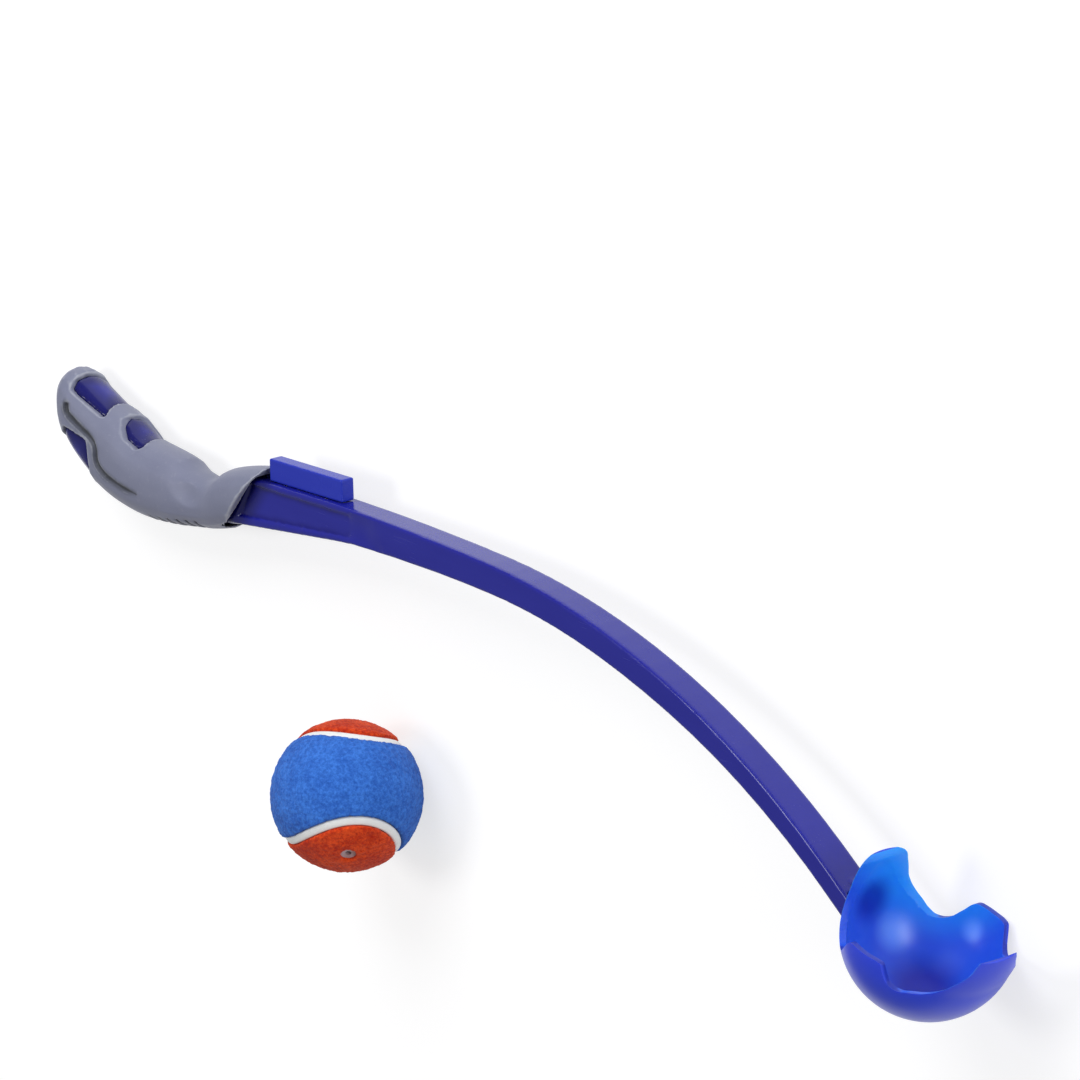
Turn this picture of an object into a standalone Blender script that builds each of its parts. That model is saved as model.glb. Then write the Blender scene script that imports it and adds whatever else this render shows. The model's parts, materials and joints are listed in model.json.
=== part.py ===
"""Dog ball thrower: a long curved arm, a soft grip, a four-fingered scoop, a name plate and its ball.

The thrower is drawn in its own frame: +X from the handle to the scoop, +Y towards the arm's
convex side, +Z sideways. The origin of that frame is on the arm's top line, at the front end
of the name plate. An empty then lays the thrower on its side, on the scoop and the grip.
Lengths are metres and angles are radians.
"""

import bmesh
import bpy
from math import asin, atan2, cos, pi, radians, sin, sqrt
from mathutils import Euler, Matrix, Vector

# General
CLEARANCE = 0.0003
OVERRUN = 0.004
WELD = 0.00002

# Arm, measured along its top line
ARM_WIDTH_ROOT = 0.0127
ARM_WIDTH_TIP = 0.0158
ARM_DEPTH = 0.0155
ARM_DEPTH_COLLAR = 0.0225
ARM_DEPTH_SHARES = ((0.0, 1.0), (0.18, 0.88), (0.40, 0.80), (0.60, 0.77), (0.80, 0.68), (1.0, 0.61))
ARM_EDGE_RADIUS = 0.0011
ARM_ROOT_RUN = 0.078
ARM_ROOT_RISE = radians(2.5)
ARM_EASE_RUN = 0.018
ARM_LEAD_RISE = radians(0.9)
ARM_LEAD_RUN = 0.088
ARM_LEAD_FALL = radians(2.0)
ARM_BEND_RADIUS = 0.390
ARM_BEND_FALL = radians(36.0)
ARM_STEP = 0.0115

# Shallow panel in each side of the arm, in front of the grip
PANEL_DEPTH = 0.0011
PANEL_BACK = 0.078
PANEL_FRONT = 0.014
PANEL_LIP = 0.0025
PANEL_FOOT = 0.0038
PANEL_SLANT = 0.009

# Scoop
CUP_RADIUS = 0.0355
CUP_WALL = 0.0024
CUP_FALL = radians(34.0)
CUP_REACH = 0.0485
CUP_RISE = 0.0180
CUP_FINGER_HEIGHT = 0.0225
CUP_UPPER_STRETCH_SHARE = 1.32
CUP_TURN_STEPS = 44
CUP_RIM_SHARES = (
    (-0.99, 0.15), (-0.88, -0.13), (-0.78, -0.31), (-0.64, -0.43), (-0.49, -0.49), (-0.37, -0.47),
    (-0.28, -0.30), (-0.20, -0.12), (-0.12, -0.01), (0.03, 0.04), (0.18, 0.04), (0.32, -0.05),
    (0.44, -0.12), (0.56, -0.11), (0.69, -0.06), (0.79, 0.02), (0.86, 0.12), (0.88, 0.24),
    (0.87, 0.42), (0.855, 0.58), (0.83, 0.66),
)
TONGUE_LENGTH = 0.008
TONGUE_WIDTH = 0.008
TONGUE_HEIGHT = 0.0042

# Web and pockets where the arm meets the scoop
WEB_WIDTH = 0.0026
WEB_RUN = 0.017
WEB_RISE = 0.0040
POCKET_DEPTH = 0.0018
POCKET_RUN = 0.011
POCKET_LAND = 0.0016

# Name plate, left bare
PLATE_LENGTH = 0.0495
PLATE_HEIGHT = 0.0102
PLATE_THICKNESS = 0.0068
PLATE_SETBACK = 0.0090
PLATE_EDGE = 0.0006
PEG_RADIUS = 0.0020
PEG_LENGTH = 0.0050
PEG_INSET = 0.0110

# Grip and the tang inside it. A station is how far back it lies as a share of GRIP_LENGTH, its
# middle and its half height as shares of GRIP_HEIGHT, and its half width as a share of GRIP_WIDTH.
GRIP_MOUTH = 0.060
GRIP_LENGTH = 0.149
GRIP_HEIGHT = 0.0412
GRIP_WIDTH = 0.0280
GRIP_WALL = 0.0026
GRIP_STATION_SHARES = (
    (-0.094, -0.160, 0.320, 0.400), (0.000, -0.235, 0.322, 0.405), (0.105, -0.330, 0.330, 0.410),
    (0.194, -0.437, 0.326, 0.415), (0.236, -0.512, 0.296, 0.402), (0.264, -0.558, 0.272, 0.391),
    (0.320, -0.566, 0.299, 0.397), (0.368, -0.567, 0.328, 0.417), (0.398, -0.547, 0.368, 0.440),
    (0.450, -0.542, 0.395, 0.465), (0.524, -0.542, 0.418, 0.485), (0.586, -0.530, 0.430, 0.492),
    (0.628, -0.485, 0.458, 0.496), (0.675, -0.425, 0.490, 0.500), (0.733, -0.365, 0.492, 0.500),
    (0.796, -0.270, 0.490, 0.500), (0.859, -0.150, 0.470, 0.496), (0.900, -0.058, 0.440, 0.480),
    (0.930, 0.008, 0.382, 0.442), (0.952, 0.052, 0.296, 0.362), (0.969, 0.082, 0.206, 0.268),
    (0.980, 0.098, 0.114, 0.152), (0.986, 0.104, 0.036, 0.050),
)
TANG_END_SHARE = 0.951
TANG_START_SHARE = 0.264
TANG_STEP_SHARE = 0.045
PAD_DEPTH = 0.0010
PAD_GAP = 0.0004
MOUTH_GAP = 0.0015
MOUTH_DEPTH = 0.008
MOUTH_SHARES = ((-0.047, 0.30), (0.000, 0.085), (0.175, -0.728), (0.246, -1.05))

# Openings and marks in the grip, as shares of GRIP_LENGTH back and of GRIP_HEIGHT up. A groove's
# third share is of its radius and depth.
TOP_WINDOW_SHARES = (
    (0.727, 0.040), (0.809, 0.80), (0.869, 0.80), (0.889, 0.300), (0.880, 0.215), (0.856, 0.175),
    (0.741, 0.030),
)
THUMB_WINDOW_SHARES = (
    (0.562, -0.150), (0.629, 0.60), (0.680, 0.60), (0.676, 0.055), (0.656, -0.035), (0.630, -0.125),
    (0.578, -0.200),
)
BUTT_WINDOW_SHARES = (
    (0.892, -0.180), (0.878, -0.178), (0.794, -0.225), (0.777, -0.250), (0.768, -0.510),
    (0.787, -1.05), (0.955, -0.95), (0.928, -0.400),
)
WINDOW_LEAN_SHARE = 0.20
GROOVE_SHARES = (
    (0.878, 0.090, 1.15), (0.874, 0.000, 1.25), (0.843, -0.065, 1.10), (0.800, -0.128, 0.95),
    (0.756, -0.195, 0.95), (0.736, -0.270, 1.00), (0.728, -0.430, 1.10), (0.702, -0.525, 1.05),
    (0.654, -0.587, 0.95), (0.590, -0.625, 0.80), (0.534, -0.640, 0.60),
)
GROOVE_RADIUS = 0.0020
GROOVE_DEPTH = 0.0014
DISH_SHARE = (0.312, -0.455)
DISH_CURVE_RADIUS = 0.021
DISH_DEPTH = 0.0017
RIB_COUNT = 6
RIB_FIRST_SHARE = 0.283
RIB_PITCH = 0.0062
RIB_WIDTH = 0.0016
RIB_DEPTH = 0.0009
RIB_RISE = 0.0105
RIB_LEAN = radians(38.0)

# Ball: two rubber half shells, two felt panels, the seam between them and a squeaker
BALL_DIAMETER = 0.0650
BALL_FORWARD = 0.002
BALL_ASIDE = 0.126
BALL_ATTITUDE = (radians(55.5), radians(66.3), radians(92.1))
FELT_THICKNESS = 0.0028
CORE_WALL = 0.0033
SEAM_WIDTH = 0.0040
SEAM_SUNK = 0.0006
SEAM_WAVE_SHARE = 0.21
SEAM_STEPS = 60
SQUEAKER_DIRECTION_SHARE = (-0.721, -0.599, 0.350)
SQUEAKER_RADIUS = 0.0024
SQUEAKER_LIP = 0.0034
SQUEAKER_LIP_THICKNESS = 0.0010
SQUEAKER_LENGTH = 0.0130
SQUEAKER_BORE = 0.0014
REED_THICKNESS = 0.0004
REED_LENGTH = 0.0060

GREY = (0.23, 0.245, 0.33)
ARM_BLUE = (0.030, 0.030, 0.270)
PLATE_BLUE = (0.075, 0.095, 0.520)
CUP_BLUE = (0.025, 0.100, 0.700)
FELT_BLUE = (0.035, 0.140, 0.550)
FELT_ORANGE = (0.650, 0.110, 0.030)
SEAM_WHITE = (0.640, 0.690, 0.730)
RUBBER_GREY = (0.300, 0.300, 0.310)
SQUEAKER_WHITE = (0.700, 0.700, 0.680)

GRIP_WINDOWS = (("top window", TOP_WINDOW_SHARES, WINDOW_LEAN_SHARE),
                ("thumb window", THUMB_WINDOW_SHARES, WINDOW_LEAN_SHARE),
                ("butt window", BUTT_WINDOW_SHARES, 0.0))
ARM_LENGTH = ARM_LEAD_RUN + ARM_BEND_RADIUS * (ARM_BEND_FALL - ARM_LEAD_FALL)
BALL_RADIUS = BALL_DIAMETER / 2
CORE_RADIUS = BALL_RADIUS - FELT_THICKNESS - CLEARANCE


def start_empty():
    """Removes what is in the scene and makes the two collections."""
    for old in list(bpy.data.objects):
        bpy.data.objects.remove(old, do_unlink=True)
    parts = bpy.data.collections.new("dog_ball_thrower")
    tools = bpy.data.collections.new("cutters")
    for group in (parts, tools):
        bpy.context.scene.collection.children.link(group)
    return parts, tools


PARTS, TOOLS = start_empty()


def material(name, colour, roughness, alpha=1.0):
    """A plain Principled material, with the colour in linear values."""
    made = bpy.data.materials.new(name)
    made.use_nodes = True
    shader = made.node_tree.nodes["Principled BSDF"]
    shader.inputs["Base Color"].default_value = (*colour, 1.0)
    shader.inputs["Roughness"].default_value = roughness
    shader.inputs["Metallic"].default_value = 0.0
    shader.inputs["Alpha"].default_value = alpha
    return made


def empty(name):
    """An empty that carries pieces and isn't one itself."""
    made = bpy.data.objects.new(name, None)
    PARTS.objects.link(made)
    return made


def piece(name, mesh, finish, parent):
    """A sub-part: one named object with its own material."""
    made = bpy.data.objects.new(name, mesh)
    PARTS.objects.link(made)
    made.data.materials.clear()
    made.data.materials.append(finish)
    made.parent = parent
    return made


def cutter(name, mesh, parent):
    """A tool for a Boolean, kept out of the model."""
    made = bpy.data.objects.new(name, mesh)
    TOOLS.objects.link(made)
    made.parent = parent
    made.hide_render = True
    made.display_type = "WIRE"
    return made


def combine(target, tool, operation):
    """Adds a Boolean of the two objects to the target."""
    step = target.modifiers.new(f"{operation.lower()} {tool.name}", "BOOLEAN")
    step.operation = operation
    step.solver = "EXACT"
    step.object = tool


def soften(target, width, segments=2, angle=radians(35)):
    """Rounds the target's sharp edges."""
    step = target.modifiers.new("rounded edges", "BEVEL")
    step.width = width
    step.segments = segments
    step.limit_method = "ANGLE"
    step.angle_limit = angle


def smooth(target, angle=radians(35)):
    """Shades round faces smooth and keeps sharp edges."""
    target.data.shade_smooth()
    target.data.set_sharp_from_angle(angle=angle)


def mesh_from(maker):
    """Makes a mesh with bmesh, its faces turned outwards."""
    work = bmesh.new()
    maker(work)
    bmesh.ops.recalc_face_normals(work, faces=work.faces)
    mesh = bpy.data.meshes.new("mesh")
    work.to_mesh(mesh)
    work.free()
    return mesh


def box_mesh(low, high):
    """A box between two corners."""
    low, high = Vector(low), Vector(high)

    def maker(work):
        bmesh.ops.create_cube(work, size=1)
        bmesh.ops.scale(work, vec=high - low, verts=work.verts)
        bmesh.ops.translate(work, vec=(low + high) / 2, verts=work.verts)

    return mesh_from(maker)


def cylinder_mesh(radius, length, steps=24):
    """A cylinder on Z, centred on the origin."""
    return mesh_from(lambda work: bmesh.ops.create_cone(
        work, cap_ends=True, segments=steps, radius1=radius, radius2=radius, depth=length))


def sphere_mesh(radius, around, up):
    """A ball on the origin."""
    return mesh_from(lambda work: bmesh.ops.create_uvsphere(
        work, u_segments=around, v_segments=up, radius=radius))


def frozen(source):
    """A mesh of the object as it stands, with its caps welded, and the object removed."""
    bpy.context.view_layer.update()
    shown = source.evaluated_get(bpy.context.evaluated_depsgraph_get())
    mesh = bpy.data.meshes.new_from_object(shown)
    mesh.transform(source.matrix_world)
    bpy.data.objects.remove(source, do_unlink=True)
    work = bmesh.new()
    work.from_mesh(mesh)
    bmesh.ops.remove_doubles(work, verts=work.verts, dist=WELD)
    bmesh.ops.recalc_face_normals(work, faces=work.faces)
    work.to_mesh(mesh)
    work.free()
    return mesh


def prism_mesh(outline, low, high):
    """A flat outline in the XY plane, made solid between two heights."""
    curve = bpy.data.curves.new("outline", "CURVE")
    curve.dimensions = "2D"
    curve.fill_mode = "BOTH"
    curve.extrude = (high - low) / 2
    line = curve.splines.new("POLY")
    line.points.add(len(outline) - 1)
    for point, (x, y) in zip(line.points, outline):
        point.co = (x, y, 0, 1)
    line.use_cyclic_u = True
    shape = bpy.data.objects.new("outline", curve)
    TOOLS.objects.link(shape)
    shape.location.z = (low + high) / 2
    return frozen(shape)


def tube_mesh(path, radius, resolution=2):
    """A round tube along a smooth line through points, each with its share of the radius."""
    curve = bpy.data.curves.new("tube", "CURVE")
    curve.dimensions = "3D"
    curve.bevel_depth = radius
    curve.bevel_resolution = resolution
    curve.resolution_u = 3
    curve.use_fill_caps = True
    line = curve.splines.new("BEZIER")
    line.bezier_points.add(len(path) - 1)
    for point, (x, y, z, share) in zip(line.bezier_points, path):
        point.co = (x, y, z)
        point.radius = share
        point.handle_left_type = "AUTO"
        point.handle_right_type = "AUTO"
    shape = bpy.data.objects.new("tube", curve)
    TOOLS.objects.link(shape)
    return frozen(shape)


def turned_mesh(profile, steps):
    """A solid turned about Z. The profile runs from the top of the axis to the bottom."""
    work = bmesh.new()
    points = [work.verts.new((radius, 0, height)) for radius, height in profile]
    for a, b in zip(points, points[1:]):
        work.edges.new((a, b))
    mesh = bpy.data.meshes.new("profile")
    work.to_mesh(mesh)
    work.free()
    shape = bpy.data.objects.new("profile", mesh)
    TOOLS.objects.link(shape)
    turn = shape.modifiers.new("turn", "SCREW")
    turn.steps = steps
    turn.render_steps = steps
    turn.use_merge_vertices = True
    turn.merge_threshold = WELD
    turn.use_normal_calculate = False
    return frozen(shape)


def table(rows, share):
    """Reads a table of shares at one place, on a smooth curve through its rows."""
    last = len(rows) - 2
    index = max(0, min(last, sum(1 for row in rows[1:-1] if row[0] <= share)))
    before = rows[max(index - 1, 0)]
    start, end = rows[index], rows[index + 1]
    after = rows[min(index + 2, len(rows) - 1)]
    span = end[0] - start[0]
    part = min(1.0, max(0.0, (share - start[0]) / span))
    values = []
    for column in range(1, len(start)):
        slope_in = (end[column] - before[column]) / (end[0] - before[0]) * span
        slope_out = (after[column] - start[column]) / (after[0] - start[0]) * span
        flat = part * part * (3 - 2 * part)
        rise_in = part * (1 - part) ** 2
        rise_out = part * part * (1 - part)
        values.append(start[column] + (end[column] - start[column]) * flat
                      + slope_in * rise_in - slope_out * rise_out)
    return values


def section(half_width, half_height, corner, steps=4):
    """A rounded oblong: points (across, up), the same count whatever its size."""
    corner = min(corner, half_width, half_height)
    points = []
    for quarter in range(4):
        across = (1, -1, -1, 1)[quarter] * (half_width - corner)
        up = (1, 1, -1, -1)[quarter] * (half_height - corner)
        for step in range(steps + 1):
            angle = (quarter + step / steps) * pi / 2
            points.append((across + corner * cos(angle), up + corner * sin(angle)))
    return points


def ring(x, y, heading, half_width, half_height, corner):
    """A section stood across a line in the XY plane."""
    points = []
    for across, up in section(half_width, half_height, corner):
        points.append(Vector((x - up * sin(heading), y + up * cos(heading), across)))
    return points


def loft_mesh(rings):
    """A closed skin through rings of equal counts."""

    def maker(work):
        loops = [[work.verts.new(place) for place in one] for one in rings]
        count = len(loops[0])
        for a, b in zip(loops, loops[1:]):
            for i in range(count):
                j = (i + 1) % count
                work.faces.new((a[i], a[j], b[j], b[i]))
        work.faces.new(loops[0])
        work.faces.new(loops[-1])
        bmesh.ops.remove_doubles(work, verts=work.verts, dist=WELD)

    return mesh_from(maker)


def arm_heading(s):
    """The top line's angle above +X, at a distance along it from the plate's front end."""
    if s < -ARM_EASE_RUN:
        return ARM_ROOT_RISE
    if s < 0:
        return ARM_LEAD_RISE + (ARM_ROOT_RISE - ARM_LEAD_RISE) * -s / ARM_EASE_RUN
    if s < ARM_LEAD_RUN:
        return ARM_LEAD_RISE - (ARM_LEAD_RISE + ARM_LEAD_FALL) * s / ARM_LEAD_RUN
    return -min(ARM_BEND_FALL, ARM_LEAD_FALL + (s - ARM_LEAD_RUN) / ARM_BEND_RADIUS)


def arm_place(s, parts=48):
    """The top line's point (x, y) at a distance along it."""
    x = y = 0.0
    for i in range(parts):
        heading = arm_heading(s * (i + 0.5) / parts)
        x += cos(heading) * s / parts
        y += sin(heading) * s / parts
    return x, y


def arm_size(s):
    """The arm's width and depth at a distance along its top line."""
    share = max(0.0, min(1.0, s / ARM_LENGTH))
    width = ARM_WIDTH_ROOT + (ARM_WIDTH_TIP - ARM_WIDTH_ROOT) * share
    if s < 0:
        return width, ARM_DEPTH + (ARM_DEPTH_COLLAR - ARM_DEPTH) * -s / ARM_ROOT_RUN
    return width, ARM_DEPTH * table(ARM_DEPTH_SHARES, share)[0]


def arm_ring(s, grow=0.0):
    """One section of the arm, square to its top line."""
    x, y = arm_place(s)
    heading = arm_heading(s)
    width, depth = arm_size(s)
    x += sin(heading) * depth / 2
    y -= cos(heading) * depth / 2
    return ring(x, y, heading, width / 2 + grow, depth / 2 + grow, ARM_EDGE_RADIUS + grow)


def grip_station(share):
    """The grip's place and half sizes at a share of its length behind the mouth."""
    middle, height, width = table(GRIP_STATION_SHARES, share)
    return (-GRIP_MOUTH - share * GRIP_LENGTH, middle * GRIP_HEIGHT, width * GRIP_WIDTH,
            height * GRIP_HEIGHT)


def grip_ring(share, grow=0.0):
    """One section of the grip's outside."""
    x, y, half_width, half_height = grip_station(share)
    half_width += grow
    half_height += grow
    return ring(x, y, 0.0, half_width, half_height, half_width)


def grip_shares(start, end, step=0.025):
    """Even places along the grip, with both ends."""
    count = max(2, round(abs(end - start) / step))
    return [start + (end - start) * i / count for i in range(count + 1)]


def grip_point(shares):
    """A point of the grip's side view, from its shares back and up."""
    back, up = shares
    return -GRIP_MOUTH - back * GRIP_LENGTH, up * GRIP_HEIGHT


def inset(outline, distance):
    """An outline drawn inwards by a distance along all its sides."""
    points = [Vector(point) for point in outline]
    around = sum(a.cross(b) for a, b in zip(points, points[1:] + points[:1]))
    sides = []
    for a, b in zip(points, points[1:] + points[:1]):
        along = (b - a).normalized()
        sides.append(Vector((-along.y, along.x)) * (1 if around > 0 else -1))
    moved = []
    for point, before, after in zip(points, sides[-1:] + sides[:-1], sides):
        moved.append(point + (before + after) * distance / (1 + before.dot(after)))
    return moved


def window_mesh(shares, lean, gap):
    """A window's outline carried through the grip, lower by the lean on the far side."""
    outline = [grip_point(one) for one in shares]
    mesh = prism_mesh(inset(outline, gap) if gap else outline, -GRIP_WIDTH, GRIP_WIDTH)
    tilt = Matrix.Identity(4)
    tilt[1][2] = lean
    tilt[1][3] = -lean * GRIP_WIDTH / 3
    mesh.transform(tilt)
    return mesh


def tang_rings(grow):
    """The moulded core inside the grip: a share of the grip's section less its wall."""
    inset = -GRIP_WALL - CLEARANCE + grow
    end = TANG_END_SHARE + grow / GRIP_LENGTH
    return [grip_ring(share, inset) for share in grip_shares(end, TANG_START_SHARE, TANG_STEP_SHARE)]


def cup_frame():
    """The scoop's frame: X towards its front, Z out of its mouth, in the thrower's frame."""
    x, y = arm_place(ARM_LENGTH)
    forward = Vector((cos(CUP_FALL), -sin(CUP_FALL), 0))
    mouth = Vector((sin(CUP_FALL), cos(CUP_FALL), 0))
    centre = Vector((x, y, 0)) + forward * CUP_REACH + mouth * CUP_RISE
    turn = Matrix((forward, mouth.cross(forward), mouth)).transposed()
    return Matrix.Translation(centre) @ turn.to_4x4()


def tip_frame():
    """The arm's tip: X along it, Y up through its top, its origin in its middle at the scoop."""
    x, y = arm_place(ARM_LENGTH)
    depth = arm_size(ARM_LENGTH)[1]
    turn = Matrix.Rotation(-ARM_BEND_FALL, 4, "Z")
    middle = Matrix.Translation((x, y, 0)) @ turn @ Matrix.Translation((0, -depth / 2, 0))
    centre = middle.inverted() @ cup_frame().translation
    reach = centre.x - sqrt(CUP_RADIUS ** 2 - centre.y ** 2)
    return middle @ Matrix.Translation((reach, 0, 0)), centre - Vector((reach, 0, 0))


def make_arm(parent):
    """The long moulding: tang, root, curved arm and the tip that carries the scoop."""
    rings = tang_rings(0.0)
    steps = round((ARM_LENGTH + ARM_ROOT_RUN) / ARM_STEP)
    for i in range(steps + 1):
        rings.append(arm_ring(-ARM_ROOT_RUN + (ARM_LENGTH + ARM_ROOT_RUN) * i / steps))
    tip, centre = tip_frame()
    width, depth = arm_size(ARM_LENGTH)
    past = tip @ Vector((CUP_RADIUS / 2, 0, 0))
    rings.append(ring(past.x, past.y, -ARM_BEND_FALL, width / 2, depth / 2, ARM_EDGE_RADIUS))
    arm = piece("arm", loft_mesh(rings), material("arm blue", ARM_BLUE, 0.32), parent)
    for name, shares, lean in GRIP_WINDOWS:
        pad = cutter(f"{name} pad", window_mesh(shares, lean, PAD_GAP), parent)
        combine(pad, cutter(f"{name} pad skin", grip_skin(-PAD_DEPTH), parent), "INTERSECT")
        combine(arm, pad, "UNION")

    foot = -WEB_RUN * (1 + POCKET_DEPTH / WEB_RISE)
    web = cutter("arm web", prism_mesh((
        (foot, depth / 2 - 2 * POCKET_DEPTH), (CUP_RADIUS * 0.4, depth / 2 - 2 * POCKET_DEPTH),
        (CUP_RADIUS * 0.4, depth / 2 + WEB_RISE), (0, depth / 2 + WEB_RISE),
        (foot, depth / 2 - POCKET_DEPTH)), -WEB_WIDTH / 2, WEB_WIDTH / 2), parent)
    web.matrix_local = tip
    combine(arm, web, "UNION")

    inner = WEB_WIDTH / 2 + POCKET_LAND
    outer = width / 2 - POCKET_LAND
    for side in (-1, 1):
        near, far = sorted((side * inner, side * outer))
        pocket = cutter("arm pocket", box_mesh(
            (-POCKET_RUN, depth / 2 - POCKET_DEPTH, near),
            (CUP_RADIUS * 0.6, depth / 2 + OVERRUN, far)), parent)
        pocket.matrix_local = tip
        combine(arm, pocket, "DIFFERENCE")

    ball = cutter("scoop seat", sphere_mesh(CUP_RADIUS + CLEARANCE, CUP_TURN_STEPS, 28), parent)
    ball.matrix_local = cup_frame()
    combine(arm, ball, "DIFFERENCE")

    slot = cutter("tongue slot", tongue_mesh(CLEARANCE), parent)
    slot.matrix_local = tip
    combine(arm, slot, "DIFFERENCE")

    for side in (-1, 1):
        panel = cutter("side panel", panel_mesh(side), parent)
        combine(arm, panel, "DIFFERENCE")
    for peg in plate_pegs(CLEARANCE):
        combine(arm, cutter("peg hole", peg, parent), "DIFFERENCE")
    smooth(arm)
    return arm


def tongue_mesh(grow):
    """The scoop's tongue, which the arm's tip holds."""
    return box_mesh((-TONGUE_LENGTH - grow, -TONGUE_HEIGHT / 2 - grow, -TONGUE_WIDTH / 2 - grow),
                    (CUP_RADIUS / 4 + grow, TONGUE_HEIGHT / 2 + grow, TONGUE_WIDTH / 2 + grow))


def panel_mesh(side):
    """The recess in one side of the arm's root."""
    def edge(s, up):
        x, y = arm_place(s)
        return x, y - up

    back, front = -PANEL_BACK, PANEL_FRONT
    depth_back, depth_front = arm_size(back)[1], arm_size(front)[1]
    outline = (edge(back + PANEL_SLANT, PANEL_LIP), edge(0.0, PANEL_LIP), edge(front, PANEL_LIP),
               edge(front, depth_front - PANEL_FOOT / 2), edge(0.0, arm_size(0.0)[1] - PANEL_FOOT * 0.6),
               edge(back, depth_back - PANEL_FOOT))
    floor = ARM_WIDTH_ROOT / 2 - PANEL_DEPTH
    low, high = sorted((side * floor, side * (ARM_WIDTH_TIP + OVERRUN)))
    return prism_mesh(outline, low, high)


def plate_frame():
    """The plate's frame: X along the root's top line, Y up from it, at the plate's front end."""
    x, y = arm_place(-PLATE_SETBACK - PLATE_LENGTH / 2)
    turn = Matrix.Rotation(arm_heading(-PLATE_SETBACK - PLATE_LENGTH / 2), 4, "Z")
    return Matrix.Translation((x, y, 0)) @ turn


def plate_pegs(grow):
    """The plate's two pegs, or with a clearance the holes for them."""
    pegs = []
    for side in (-1, 1):
        mesh = cylinder_mesh(PEG_RADIUS + grow, 2 * PEG_LENGTH + 2 * grow)
        mesh.transform(Matrix.Rotation(pi / 2, 4, "X"))
        mesh.transform(Matrix.Translation((side * (PLATE_LENGTH / 2 - PEG_INSET), 0, 0)))
        mesh.transform(plate_frame())
        pegs.append(mesh)
    return pegs


def make_plate(parent):
    """The bare plate on the arm's top, pegged into the arm."""
    half = PLATE_LENGTH / 2
    mesh = box_mesh((-half, CLEARANCE, -PLATE_THICKNESS / 2), (half, PLATE_HEIGHT, PLATE_THICKNESS / 2))
    mesh.transform(plate_frame())
    plate = piece("name_plate", mesh, material("plate blue", PLATE_BLUE, 0.30), parent)
    soften(plate, PLATE_EDGE)
    for peg in plate_pegs(0.0):
        combine(plate, cutter("peg", peg, parent), "UNION")
    smooth(plate)
    return plate


def cup_profile(radius, height, steps=15):
    """Half of the scoop's outline: round below its middle, more upright above it."""
    stretch = radius * CUP_UPPER_STRETCH_SHARE
    points = [(0.0, height)]
    for i in range(6):
        rise = height * (1 - i / 6)
        points.append((radius * sqrt(1 - (rise / stretch) ** 2), rise))
    for i in range(steps + 1):
        angle = pi / 2 * i / steps
        points.append((radius * cos(angle) if i < steps else 0.0, -radius * sin(angle)))
    return points


def make_cup(parent):
    """The scoop: a thin bowl cut into four fingers, with a tongue that the arm holds."""
    outer = turned_mesh(cup_profile(CUP_RADIUS, CUP_FINGER_HEIGHT), CUP_TURN_STEPS)
    cup = piece("scoop", outer, material("scoop blue", CUP_BLUE, 0.28), parent)
    cup.matrix_local = cup_frame()
    tongue = cutter("tongue", tongue_mesh(0.0), parent)
    tongue.matrix_local = tip_frame()[0]
    combine(cup, tongue, "UNION")
    inside = turned_mesh(cup_profile(CUP_RADIUS - CUP_WALL, CUP_FINGER_HEIGHT + OVERRUN), CUP_TURN_STEPS)
    hollow = cutter("scoop hollow", inside, parent)
    hollow.matrix_local = cup_frame()
    combine(cup, hollow, "DIFFERENCE")

    outline = [(x * CUP_RADIUS, y * CUP_RADIUS) for x, y in CUP_RIM_SHARES]
    wide = CUP_RADIUS + OVERRUN
    top = CUP_FINGER_HEIGHT + OVERRUN
    outline += [(outline[-1][0], top), (-wide, top), (-wide, outline[0][1])]
    mesh = prism_mesh(outline, -wide, wide)
    mesh.transform(Matrix.Rotation(pi / 2, 4, "X"))
    rim = cutter("scoop rim", mesh, parent)
    rim.matrix_local = cup_frame()
    combine(cup, rim, "DIFFERENCE")
    smooth(cup)
    return cup


def root_rings(grow):
    """The arm's root, from the end of the tang to in front of the grip."""
    return [arm_ring(-ARM_ROOT_RUN * (1 - i / 6), grow) for i in range(6)]


def mouth_mesh(setback):
    """All that lies in front of the grip's slanted mouth, or of a line behind it."""
    outline = [grip_point(shares) for shares in MOUTH_SHARES]
    outline = [(x - setback, y) for x, y in outline]
    outline += [(GRIP_MOUTH, outline[-1][1]), (GRIP_MOUTH, outline[0][1])]
    return prism_mesh(outline, -GRIP_WIDTH, GRIP_WIDTH)


def grip_skin(grow):
    """The grip's outside, or a skin over or under it."""
    places = [row[0] for row in GRIP_STATION_SHARES]
    shares = grip_shares(places[0], places[-6]) + places[-5:]
    return loft_mesh([grip_ring(share, grow) for share in shares])


def grip_surface(shares, out):
    """A point straight out from the grip's side, which is met at the shares back and up."""
    x, y = grip_point(shares)
    middle, half_width, half_height = grip_station(shares[0])[1:]
    over = max(0.0, abs(y - middle) - (half_height - half_width))
    lean = asin(min(1.0, over / half_width)) * (1 if y > middle else -1)
    return Vector((x, y + out * sin(lean), (half_width + out) * cos(lean)))


def ribs_mesh():
    """The finger ribs under the grip's neck."""
    work = bmesh.new()
    for i in range(RIB_COUNT):
        share = RIB_FIRST_SHARE + i * RIB_PITCH / GRIP_LENGTH
        x, y, half_width, half_height = grip_station(share)
        slab = box_mesh((-RIB_WIDTH / 2, -RIB_RISE / 2, -GRIP_WIDTH), (RIB_WIDTH / 2, RIB_RISE / 2, GRIP_WIDTH))
        slab.transform(Matrix.Rotation(RIB_LEAN, 4, "Z"))
        slab.transform(Matrix.Translation((x, y - half_height, 0)))
        work.from_mesh(slab)
    mesh = bpy.data.meshes.new("marks")
    work.to_mesh(mesh)
    work.free()
    return mesh


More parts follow.
